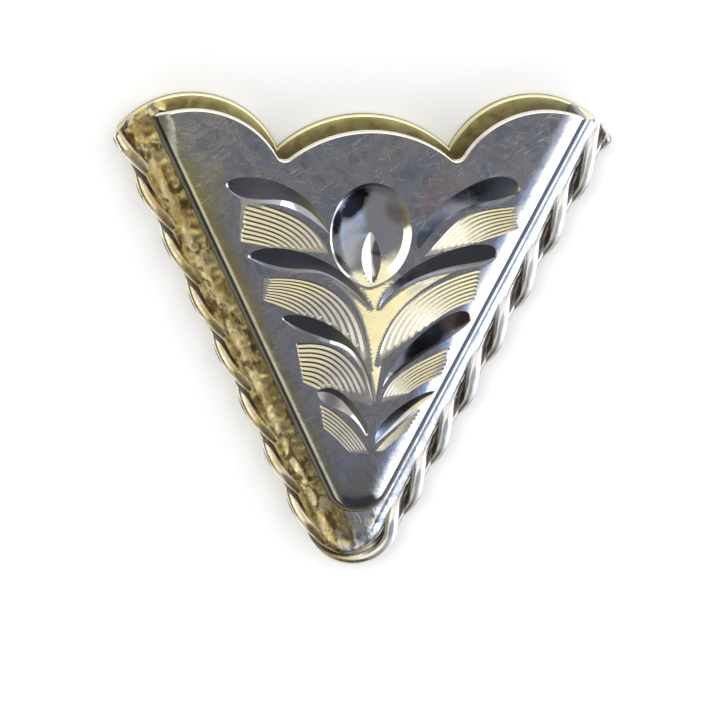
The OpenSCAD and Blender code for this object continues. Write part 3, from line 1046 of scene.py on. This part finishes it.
def solder_metal():
    """Solder: gold-brown and mottled on the left side, brighter and smoother on the right one, where its blue tint is
    painted cool light.
    """
    s = Shade("old_solder")
    big = s.noise(s.mapped((0.9, 0.36, 0.6), turn=(0, 0, -24.4)), 1.0, 4.0, 0.58, 0.5)
    mid = s.noise(s.mapped((1.25, 0.58, 0.9), turn=(0, 0, -24.4), move=(5, 5, 5)), 1.0, 3.0, 0.55, 0.6)
    fine = s.noise(s.mapped((3.4, 2.0, 3.0), turn=(0, 0, -24.4), move=(1, 5, 9)), 1.0, 3.0, 0.6)
    edge = s.math("ADD", s.place(0), s.math("MULTIPLY", s.remap(big, 0.3, 0.7), 3.0))
    right = s.remap(edge, -0.5, 4.5)
    color = s.mix(s.remap(big, 0.38, 0.62), (0.50, 0.37, 0.14), (0.74, 0.62, 0.33))
    color = s.mix(s.remap(mid, 0.48, 0.62), color, (0.17, 0.115, 0.045))
    color = s.mix(s.remap(fine, 0.55, 0.70, 0.0, 0.60), color, (0.92, 0.80, 0.52))
    # the blue tint of the right side is painted cool light
    clean = s.mix(s.remap(mid, 0.36, 0.68), (0.76, 0.80, 0.88), (0.60, 0.63, 0.69))
    clean = s.mix(s.remap(fine, 0.60, 0.74, 0.0, 0.4), clean, (0.50, 0.46, 0.42))
    color = s.mix(right, color, clean)
    r = s.math("SUBTRACT", s.remap(mid, 0.35, 0.65, 0.26, 0.44), s.math("MULTIPLY", right, 0.12))
    h = s.math("ADD", s.math("MULTIPLY", mid, 1.6), s.math("MULTIPLY", fine, 0.20))
    h = s.math("MULTIPLY", h, s.remap(right, 0.0, 1.0, 1.0, 0.12))
    return s.finish(color, r, s.bump(h, 0.8, 3.0e-5))


def rope_metal():
    s = Shade("rope_metal")
    gap = s.attribute("crevice")
    cloud = s.noise(s.mapped((0.6, 0.6, 0.6), move=(3, 1, 4)), 1.0, 4.0, 0.6)
    spots = s.noise(s.mapped((3.2, 3.2, 3.2), move=(7, 1, 2)), 1.0, 5.0, 0.7)
    right = s.remap(s.place(0), -2.0, 3.5)
    # on the left a warm cream, painted warm light whose highlights were raised; on the right the plain grey metal
    worn = s.mix(s.remap(cloud, 0.42, 0.62), (0.97, 0.93, 0.82), (0.84, 0.73, 0.50))
    clean = s.mix(s.remap(cloud, 0.42, 0.62), (0.80, 0.80, 0.80), (0.76, 0.73, 0.68))
    color = s.mix(right, worn, clean)
    stain = s.math("MULTIPLY", s.remap(spots, 0.54, 0.70), s.remap(right, 0.0, 1.0, 0.85, 0.45))
    color = s.mix(stain, color, (0.24, 0.17, 0.09))
    # dark brown where the strands meet: painted shade, with some dirt
    dirt_and_shade = s.math("MULTIPLY", s.math("MULTIPLY", gap, s.remap(spots, 0.25, 0.55, 0.75, 1.0)), s.remap(right, 0.0, 1.0, 1.0, 0.45))
    eye = s.math("MULTIPLY", s.attribute("eye"), s.remap(right, 0.0, 1.0, 0.55, 1.0))
    film = s.math("MULTIPLY", s.attribute("inward"), s.remap(right, 0.0, 1.0, 1.0, 0.0))
    color = s.mix(s.math("MULTIPLY", film, s.remap(cloud, 0.36, 0.60, 0.6, 1.0)), color, (0.40, 0.29, 0.12))
    # the high tops on the right painted near white: a painted highlight
    top = s.math("MULTIPLY", s.attribute("worn"), right)
    color = s.mix(top, color, (0.95, 0.95, 0.97))
    color = s.mix(s.remap(dirt_and_shade, 0.45, 1.0), color, (0.07, 0.055, 0.035))
    # the hollows between the crossings painted dark brown: painted shade
    color = s.mix(s.remap(eye, 0.25, 0.75), color, s.mix(s.remap(spots, 0.4, 0.6), (0.115, 0.10, 0.10), (0.19, 0.165, 0.15)))
    # the outer rim painted near black: a painted dark outline for the shade at the rope's edge
    color = s.mix(s.math("MULTIPLY", s.attribute("outer"), 0.9), color, (0.075, 0.075, 0.09))
    lines = s.scratches((64, -64, 15), width=15, length=0.5, seed=2.0, cover=0.69)
    r = s.remap(cloud, 0.3, 0.7, 0.10, 0.18)
    r = s.math("ADD", r, s.math("MULTIPLY", dirt_and_shade, 0.30))
    r = s.math("ADD", r, s.math("MULTIPLY", film, 0.16))
    r = s.math("ADD", r, s.math("MULTIPLY", top, 0.16))
    open_side = s.math("MULTIPLY", s.math("SUBTRACT", 1.0, s.attribute("inward")), right)
    r = s.math("ADD", r, s.math("MULTIPLY", open_side, 0.16))
    r = s.math("ADD", r, s.math("MULTIPLY", lines, 0.08), clamp=True)
    h = s.math("SUBTRACT", s.math("MULTIPLY", spots, 1.0), s.math("MULTIPLY", lines, 0.4))
    # no metal at the outer rim, so the painted dark outline stays dark
    dull = s.math("SUBTRACT", 1.0, s.attribute("outer"), clamp=True)
    s.bsdf.inputs["Specular IOR Level"].default_value = 0.0
    return s.finish(color, r, s.bump(h, 0.5, 1.6e-5), metallic=dull)


def plate_metal(name, shade, seed):
    """Gilded plate: yellow where it was rubbed, olive and brown where it has toned, and near black at its foot as a
    painted contact shadow.
    """
    s = Shade(name)
    cloud = s.noise(s.mapped((0.30, 0.30, 0.30), move=(seed, 6, 1)), 1.0, 5.0, 0.62, 0.5)
    mid = s.noise(s.mapped((1.3, 1.3, 1.3), move=(2, seed, 8)), 1.0, 5.0, 0.7, 0.5)
    lines = s.scratches((4, 83, -52, 31), width=12, length=0.22, seed=seed)
    rub = tuple(min(1.0, c * shade) for c in (1.0, 0.92, 0.54))
    tone = tuple(min(1.0, c * shade) for c in (0.88, 0.81, 0.43))
    brown = tuple(min(1.0, c * shade) for c in (0.44, 0.33, 0.14))
    color = s.mix(s.remap(cloud, 0.34, 0.66), rub, tone)
    color = s.mix(s.remap(mid, 0.56, 0.80, 0.0, 0.30), color, brown)
    # painted contact shadow: near the foot the plate turns near black and loses its metal
    low = s.remap(s.place(2), 0.20, 0.50, 0.95, 0.0)
    color = s.mix(low, color, (0.10, 0.09, 0.055))
    color = s.mix(s.math("MULTIPLY", lines, s.remap(low, 0.0, 0.5, 0.6, 0.0)), color, tuple(min(1.0, 1.1 * c) for c in rub))
    r = s.remap(mid, 0.3, 0.7, 0.30, 0.45)
    fine = s.noise(s.mapped((18, 18, 18)), 1.0, 2.0, 0.6)
    h = s.math("SUBTRACT", s.math("MULTIPLY", fine, 0.3), s.math("MULTIPLY", lines, 0.8))
    bright = s.math("SUBTRACT", 1.0, low, clamp=True)
    s.bsdf.inputs["Specular IOR Level"].default_value = 0.0
    return s.finish(color, r, s.bump(h, 0.5, 5e-6), metallic=bright)


# ------------------------------------------------------------------ camera
def aim(place, target, roll):
    z = (place - target).normalized()
    x = Vector((0, 1, 0)).cross(z).normalized()
    y = z.cross(x)
    c, s = math.cos(roll), math.sin(roll)
    x2, y2 = x * c + y * s, y * c - x * s
    m = Matrix((x2, y2, z)).transposed().to_4x4()
    m.translation = place
    return m


scene = bpy.context.scene
cam_data = bpy.data.cameras.new("camera")
cam_data.sensor_width = 36
cam_data.lens = 103.6
cam_data.clip_start = 0.01
cam_data.clip_end = 20
cam = bpy.data.objects.new("camera", cam_data)
scene.collection.objects.link(cam)
cam.matrix_world = aim(Vector((-0.01973, 0.05811, 0.15414)), Vector((0.0001, -0.0014, 0.0025)), math.radians(2.1))
scene.camera = cam

# ------------------------------------------------------------------ stage
floor_shade = Shade("pale_floor")
grain = floor_shade.noise(floor_shade.mapped((0.15, 0.15, 0.15)), 1.0, 3.0)
floor_shade.finish(floor_shade.mix(grain, (0.90, 0.90, 0.895), (0.93, 0.93, 0.925)), 0.75, metallic=0.0)
floor_mesh = bpy.data.meshes.new("floor")
floor_mesh.from_pydata([(-1.5, -1.5, 0), (1.5, -1.5, 0), (1.5, 1.5, 0), (-1.5, 1.5, 0)], [], [(0, 1, 2, 3)])
floor_mesh.materials.append(floor_shade.mat)
floor = bpy.data.objects.new("floor", floor_mesh)
scene.collection.objects.link(floor)


def sun_panel(name, place, size, power, colour, glossy=False):
    data = bpy.data.lights.new(name, "AREA")
    data.shape = "DISK"
    data.size = size
    data.energy = power
    data.color = colour
    ob = bpy.data.objects.new(name, data)
    scene.collection.objects.link(ob)
    ob.matrix_world = aim(Vector(place), Vector((0, 0, 0)), 0)
    ob.visible_camera = False
    ob.visible_glossy = glossy
    return ob


sun_panel("soft_key", (-0.22, 0.30, 0.55), 0.34, 1.35, (1.0, 0.985, 0.96))
sun_panel("soft_fill", (0.30, 0.25, 0.50), 0.45, 0.4, (0.97, 0.985, 1.0))

# soft boxes round the object, as directions: what a polished surface mirrors
world = bpy.data.worlds.new("soft_boxes")
scene.world = world
world.use_nodes = True
wt = world.node_tree
wt.nodes.clear()
w_out = wt.nodes.new("ShaderNodeOutputWorld")
w_bg = wt.nodes.new("ShaderNodeBackground")
wt.links.new(w_bg.outputs[0], w_out.inputs[0])
w_dir = wt.nodes.new("ShaderNodeTexCoord").outputs["Generated"]


def w_dot(v, offset=0.0):
    n = wt.nodes.new("ShaderNodeVectorMath")
    n.operation = "DOT_PRODUCT"
    wt.links.new(w_dir, n.inputs[0])
    n.inputs[1].default_value = v
    return n.outputs["Value"]


def w_step(value, lo, hi):
    n = wt.nodes.new("ShaderNodeMapRange")
    n.interpolation_type = "SMOOTHSTEP"
    wt.links.new(value, n.inputs["Value"])
    n.inputs["From Min"].default_value = lo
    n.inputs["From Max"].default_value = hi
    return n.outputs["Result"]


def w_times(a, b):
    n = wt.nodes.new("ShaderNodeMath")
    n.operation = "MULTIPLY"
    wt.links.new(a, n.inputs[0])
    wt.links.new(b, n.inputs[1])
    return n.outputs[0]


def w_mix(share, a, b):
    n = wt.nodes.new("ShaderNodeMix")
    n.data_type = "RGBA"
    wt.links.new(share, n.inputs[0])
    for socket, v in ((n.inputs[6], a), (n.inputs[7], b)):
        if isinstance(v, bpy.types.NodeSocket):
            wt.links.new(v, socket)
        else:
            socket.default_value = (*v, 1)
    return n.outputs[2]


ROOM_LOW, ROOM_DARK, ROOM_GREY, ROOM_BROWN = (0.42, 0.42, 0.43), (0.042, 0.044, 0.054), (0.185, 0.188, 0.210), (0.16, 0.125, 0.08)
ROOM_OLIVE, LINE_OLIVE = (0.20, 0.185, 0.105), (0.66, 0.67, 0.57)
BOX_CREAM, BOX_BLUE, BOX_PALE = (1.02, 0.94, 0.60), (0.40, 0.54, 0.84), (0.60, 0.58, 0.60)
BOX_WHITE, BOX_LEFT = (1.8, 1.85, 2.0), (1.2, 1.17, 1.08)


def w_below(value, lo, hi):
    n = w_step(value, lo, hi)
    m = wt.nodes.new("ShaderNodeMath")
    m.operation = "SUBTRACT"
    m.inputs[0].default_value = 1.0
    wt.links.new(n, m.inputs[1])
    return m.outputs[0]


up = w_dot((0, 0, 1))
az = w_dot((0.809, 0.588, 0.0))
# grey overhead, dark below it and brown near the horizon
sky = w_mix(w_step(up, 0.74, 0.88), ROOM_DARK, ROOM_GREY)
sky = w_mix(w_below(up, 0.22, 0.48), sky, ROOM_BROWN)
# an olive wall on the left, with a lighter strip low on it
sky = w_mix(w_step(w_dot((-0.92, 0.15, 0.0)), -0.02, 0.22), sky, ROOM_OLIVE)
sky = w_mix(w_step(w_dot((-0.54, -0.66, 0.52)), 0.93, 0.97), sky, LINE_OLIVE)
# plain room behind, towards +Y and low
sky = w_mix(w_step(w_dot((0.25, 0.95, 0.0)), 0.30, 0.55), sky, ROOM_LOW)
# the cream box overhead, from just short of the zenith towards +Y
cream = w_times(w_step(w_dot((-0.33, 0.943, 0.0)), -0.225, -0.165), w_step(up, 0.55, 0.68))
sky = w_mix(w_times(cream, w_step(w_dot((1.0, 0.0, 0.0)), -0.58, -0.44)), sky, BOX_CREAM)
# the small box on the upper left
sky = w_mix(w_times(w_step(w_dot((-0.55, 0.0, 0.835)), 0.905, 0.93), w_step(w_dot((0.0, 0.5, 0.87)), 0.40, 0.48)), sky, BOX_LEFT)
# the cool box on the right, with a blue edge above it and a pale one beside that
sky = w_mix(w_times(w_times(w_step(az, -0.09, -0.01), w_below(up, 0.885, 0.925)), w_step(up, 0.74, 0.84)), sky, BOX_BLUE)
sky = w_mix(w_times(w_times(w_step(az, 0.05, 0.13), w_below(up, 0.93, 0.96)), w_step(up, 0.80, 0.84)), sky, BOX_PALE)
white = w_times(w_times(w_step(az, -0.03, 0.02), w_below(up, 0.81, 0.85)), w_step(up, 0.0, 0.05))
sky = w_mix(w_times(white, w_step(w_dot((0.0, 1.0, 0.0)), -0.71, -0.63)), sky, BOX_WHITE)
# below the horizon
sky = w_mix(w_below(up, -0.02, 0.05), sky, (0.60, 0.60, 0.60))
path = wt.nodes.new("ShaderNodeLightPath")
sky = w_mix(path.outputs["Is Diffuse Ray"], sky, (0.80, 0.80, 0.81))
sky = w_mix(path.outputs["Is Camera Ray"], sky, (0.86, 0.865, 0.87))
wt.links.new(sky, w_bg.inputs["Color"])
w_bg.inputs["Strength"].default_value = 1.0

scene.view_settings.view_transform = "Standard"
scene.view_settings.look = "None"
scene.view_settings.exposure = 0.0
scene.view_settings.gamma = 1.0

# ------------------------------------------------------------------ the pieces
SILVER, COOL, WARM = (0.76, 0.75, 0.75), (0.66, 0.69, 0.77), (0.74, 0.67, 0.66)
# soft tints on the face: plan place, size, turn, colour, share. The pink one at the right is a tint; the cream one in
# the left corner is a painted reflection, the yellow band along the left fold a painted warm reflection and the grey
# one near the tip painted shade.
FACE_TINTS = [
    (5.6, 32.3, 2.4, 3.2, 20, (0.86, 0.62, 0.58), 0.55),
    (-12.6, 33.6, 2.6, 3.4, 20, (0.95, 0.88, 0.50), 0.60),
    (-10.6, 27.0, 1.7, 9.0, 24, (0.80, 0.70, 0.44), 0.65),
    (0.2, 9.0, 2.3, 2.4, 0, (0.52, 0.49, 0.40), 0.75),
]
ground = polished("face_ground", SILVER, COOL, WARM, rough=(0.08, 0.15), scratch=0.8, seed=1.0, stain=0.5, patches=FACE_TINTS)
# dark patches in the leaves, painted dark reflections of the bright cuts, with brown and mauve tints among them
CUTS = [
    (6.3, 31.5, 4.7, 2.0, 45, (0.15, 0.15, 0.155), 1.6),
    (4.2, 29.1, 1.7, 1.3, 50, (0.12, 0.12, 0.125), 1.6),
    (4.0, 20.3, 4.8, 1.7, 43, (0.10, 0.10, 0.115), 1.6),
    (7.1, 22.9, 1.7, 1.3, 43, (0.60, 0.38, 0.31), 1.3),
    (2.4, 25.3, 2.6, 1.0, 40, (0.17, 0.17, 0.19), 1.4),
    (0.78, 27.7, 0.52, 2.3, 3, (0.12, 0.115, 0.13), 1.8),
    (2.4, 15.4, 3.2, 1.5, 42, (0.26, 0.24, 0.22), 1.6),
    (-0.9, 19.2, 1.0, 2.6, 38, (0.50, 0.33, 0.34), 0.8),
    (-9.5, 33.2, 1.6, 1.6, 0, (0.62, 0.52, 0.58), 0.8),
]
cut_leaf = polished("bright_cut", (0.78, 0.77, 0.76), (0.70, 0.72, 0.78), (0.76, 0.68, 0.62), rough=(0.05, 0.11), scratch=0.2, stain=0.15, seed=4.0, patches=CUTS)
# the cream of the fine cuts and the brighter patch over the right group are painted warm reflection
hatch = polished("fine_cuts", (0.84, 0.80, 0.70), (0.80, 0.77, 0.74), (0.84, 0.75, 0.64), rough=(0.19, 0.27), scratch=0.2, stain=0.15, seed=6.0, patches=[(6.8, 26.0, 5.0, 9.0, 0, (1.0, 0.97, 0.90), 1.5)])
# the stem's cream colour is painted warm reflection
stem = satin("satin_stem", (1.0, 0.97, 0.86), (0.88, 0.81, 0.64), rough=(0.12, 0.20), seed=2.0)
# painted light in the bowl of the bud: a brighter patch on its left, black and dark brown crescents of painted dark
# reflection, a yellow spot of painted highlight and a mauve patch of painted reflection
BOWL = [
    (-0.7, 30.2, 1.3, 3.0, 0, (0.96, 0.90, 0.84), 1.2),
    (-1.10, 32.2, 2.3, 1.05, 57, (0.045, 0.04, 0.045), 1.7),
    (-2.45, 30.6, 0.5, 1.5, -8, (0.07, 0.065, 0.08), 1.5),
    (-2.0, 27.4, 0.42, 1.9, 38, (0.16, 0.12, 0.07), 0.95),
    (-2.45, 29.35, 0.34, 0.5, 0, (1.0, 0.92, 0.45), 0.8),
    (2.0, 31.4, 0.9, 1.6, 30, (0.52, 0.38, 0.38), 0.8),
]
oval = polished("bud_bowl", (0.97, 0.96, 0.94), (0.88, 0.91, 0.97), (0.95, 0.92, 0.80), rough=(0.05, 0.10), scratch=0.2, stain=0.15, seed=8.0, patches=BOWL)
# side wall: the near-black base of the fold is a painted dark reflection, and DARK_WALL paints the right side
# blue-black as a painted reflection of the cool light
DARK_WALL = [(13.0, 22.0, 13.0, 34.0, 0, (0.075, 0.088, 0.155), 1.0)]
wall = polished("side_wall", (0.11, 0.11, 0.085), (0.09, 0.095, 0.09), (0.14, 0.13, 0.09), rough=(0.14, 0.24), scratch=0.5, seed=3.0, stain=0.5, patches=DARK_WALL, lower=(FOLD_Z - 0.35, FOLD_Z + 0.15, (0.70, 0.69, 0.66)))
# the steep side of a leaf short of its lip: a darker grey, a painted shade that keeps it from mirroring the lights
shaded_lip = polished("shaded_cut_side", (0.30, 0.31, 0.35), (0.24, 0.26, 0.32), (0.34, 0.30, 0.28), rough=(0.20, 0.32), scratch=0.3, seed=7.0, stain=0.3)
# the cut edge's cream tint is painted warm reflection
cut_edge = polished("cut_edge", (0.90, 0.86, 0.76), (0.86, 0.84, 0.78), (0.84, 0.76, 0.60), rough=(0.16, 0.26), scratch=0.3, seed=5.0, stain=0.25)
# inside of the sheet: its gold-brown base is painted warm reflection and shade in the hollow behind the face; the
# blue-black patch at the right corner is a painted cool reflection and the gold-brown one at the left corner has the
# solder's colour
inner = polished("sheet_inside", (0.46, 0.38, 0.19), (0.40, 0.35, 0.20), (0.36, 0.27, 0.12), rough=(0.28, 0.40), scratch=0.5, seed=9.0, stain=0.6, patches=[(-15.4, 38.6, 1.9, 3.4, 0, (0.20, 0.125, 0.035), 1.8), (15.4, 38.6, 1.9, 3.4, 0, (0.16, 0.17, 0.24), 1.8)])

shell = engraved_shell([ground, cut_leaf, hatch, stem, oval, wall, cut_edge, inner, shaded_lip])
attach(shell, "root")
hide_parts("front_shell")

solder = solder_run([solder_metal()])
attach(solder, "root")

strands = rope_strands([rope_metal()])
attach(strands, "root")
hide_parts("rope_edge")

plate = back_plate([plate_metal("plate_outside", 0.95, 2.0), plate_metal("plate_inside", 1.0, 5.0)])
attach(plate, "root")
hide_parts("back_plate")
